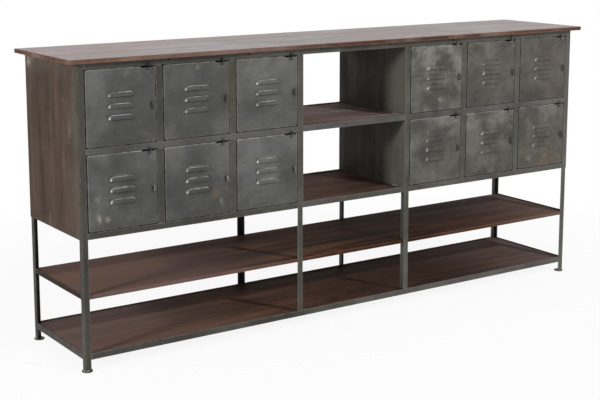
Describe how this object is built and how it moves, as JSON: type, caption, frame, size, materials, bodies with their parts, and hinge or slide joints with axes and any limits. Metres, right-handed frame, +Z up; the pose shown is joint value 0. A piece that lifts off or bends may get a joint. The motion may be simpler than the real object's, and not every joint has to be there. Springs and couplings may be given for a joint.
{
  "type": "sideboard buffet",
  "caption": "Industrial sideboard: angle-iron frame clad in steel sheet, plank top, louvred steel locker doors in two rows either side of an open niche, and two long wooden shelves below.",
  "frame": {"origin": "on the floor, under the middle of the top's outline", "axes": "+X along the length to the viewer's right, -Y out of the front with the doors, +Z up"},
  "size_m": [2, 0.4, 0.912],
  "materials": {
    "top_wood": "satin oiled brown planks, greyed and worn along the edges",
    "shelf_wood": "dark red-brown satin wood with long grain",
    "panel_steel": "sheet steel with a brown upright-streaked patina, matt",
    "niche_steel": "sheet steel with a grey-brown upright-streaked patina, matt",
    "inner_wood": "plain brown board, matt",
    "frame_iron": "green-grey patinated iron with rubbed edges, satin",
    "door_steel": "green-grey patinated sheet steel, mottled and rubbed, satin",
    "fitting_steel": "dark blackened steel with bright rubbed spots"
  },
  "bodies": {
    "frame": {"top_planks": "top_wood", "corner_post_front_left": "frame_iron", "corner_post_front_right": "frame_iron", "corner_post_back_left": "frame_iron", "corner_post_back_right": "frame_iron", "middle_post_front_left": "frame_iron", "middle_post_front_right": "frame_iron", "middle_post_back_left": "frame_iron", "middle_post_back_right": "frame_iron", "feet": "frame_iron", "front_top_rails": "frame_iron", "back_top_rails": "frame_iron", "front_middle_rails": "frame_iron", "back_middle_rails": "frame_iron", "front_bottom_rails": "frame_iron", "back_bottom_rails": "frame_iron", "side_top_rails": "frame_iron", "door_mullions": "frame_iron", "bottom_shelf_front_rail": "frame_iron", "bottom_shelf_back_rail": "frame_iron", "bottom_shelf_cross_rails": "frame_iron", "bottom_shelf_board": "shelf_wood", "lower_shelf_bars": "frame_iron", "lower_shelf_board": "shelf_wood", "side_panel_left": "panel_steel", "side_panel_right": "panel_steel", "niche_wall_left": "niche_steel", "niche_wall_right": "niche_steel", "niche_shelves": "shelf_wood", "locker_floors": "inner_wood", "locker_dividers": "inner_wood", "back_panels": "inner_wood", "pivot_lugs": "fitting_steel", "door_catches": "fitting_steel", "padlock_staples": "fitting_steel", "top_screws": "fitting_steel"},
    "door_lower_1": {"door_lower_1_panel": "door_steel", "door_lower_1_fittings": "fitting_steel"},
    "door_lower_2": {"door_lower_2_panel": "door_steel", "door_lower_2_fittings": "fitting_steel"},
    "door_lower_3": {"door_lower_3_panel": "door_steel", "door_lower_3_fittings": "fitting_steel"},
    "door_lower_4": {"door_lower_4_panel": "door_steel", "door_lower_4_fittings": "fitting_steel"},
    "door_lower_5": {"door_lower_5_panel": "door_steel", "door_lower_5_fittings": "fitting_steel"},
    "door_lower_6": {"door_lower_6_panel": "door_steel", "door_lower_6_fittings": "fitting_steel"},
    "door_upper_1": {"door_upper_1_panel": "door_steel", "door_upper_1_fittings": "fitting_steel"},
    "door_upper_2": {"door_upper_2_panel": "door_steel", "door_upper_2_fittings": "fitting_steel"},
    "door_upper_3": {"door_upper_3_panel": "door_steel", "door_upper_3_fittings": "fitting_steel"},
    "door_upper_4": {"door_upper_4_panel": "door_steel", "door_upper_4_fittings": "fitting_steel"},
    "door_upper_5": {"door_upper_5_panel": "door_steel", "door_upper_5_fittings": "fitting_steel"},
    "door_upper_6": {"door_upper_6_panel": "door_steel", "door_upper_6_fittings": "fitting_steel"}
  },
  "joints": [
    {"name": "door_lower_1_hinge", "type": "hinge", "parent": "frame", "child": "door_lower_1", "pos_m": [-0.9345, -0.171, 0.5235], "axis": [0, 0, -1], "range_deg": [0, 105]},
    {"name": "door_lower_2_hinge", "type": "hinge", "parent": "frame", "child": "door_lower_2", "pos_m": [-0.6865, -0.171, 0.5235], "axis": [0, 0, -1], "range_deg": [0, 105]},
    {"name": "door_lower_3_hinge", "type": "hinge", "parent": "frame", "child": "door_lower_3", "pos_m": [-0.4385, -0.171, 0.5235], "axis": [0, 0, -1], "range_deg": [0, 105]},
    {"name": "door_lower_4_hinge", "type": "hinge", "parent": "frame", "child": "door_lower_4", "pos_m": [0.2385, -0.171, 0.5235], "axis": [0, 0, -1], "range_deg": [0, 105]},
    {"name": "door_lower_5_hinge", "type": "hinge", "parent": "frame", "child": "door_lower_5", "pos_m": [0.4865, -0.171, 0.5235], "axis": [0, 0, -1], "range_deg": [0, 105]},
    {"name": "door_lower_6_hinge", "type": "hinge", "parent": "frame", "child": "door_lower_6", "pos_m": [0.7345, -0.171, 0.5235], "axis": [0, 0, -1], "range_deg": [0, 105]},
    {"name": "door_upper_1_hinge", "type": "hinge", "parent": "frame", "child": "door_upper_1", "pos_m": [-0.9345, -0.171, 0.7675], "axis": [0, 0, -1], "range_deg": [0, 105]},
    {"name": "door_upper_2_hinge", "type": "hinge", "parent": "frame", "child": "door_upper_2", "pos_m": [-0.6865, -0.171, 0.7675], "axis": [0, 0, -1], "range_deg": [0, 105]},
    {"name": "door_upper_3_hinge", "type": "hinge", "parent": "frame", "child": "door_upper_3", "pos_m": [-0.4385, -0.171, 0.7675], "axis": [0, 0, -1], "range_deg": [0, 105]},
    {"name": "door_upper_4_hinge", "type": "hinge", "parent": "frame", "child": "door_upper_4", "pos_m": [0.2385, -0.171, 0.7675], "axis": [0, 0, -1], "range_deg": [0, 105]},
    {"name": "door_upper_5_hinge", "type": "hinge", "parent": "frame", "child": "door_upper_5", "pos_m": [0.4865, -0.171, 0.7675], "axis": [0, 0, -1], "range_deg": [0, 105]},
    {"name": "door_upper_6_hinge", "type": "hinge", "parent": "frame", "child": "door_upper_6", "pos_m": [0.7345, -0.171, 0.7675], "axis": [0, 0, -1], "range_deg": [0, 105]}
  ]
}
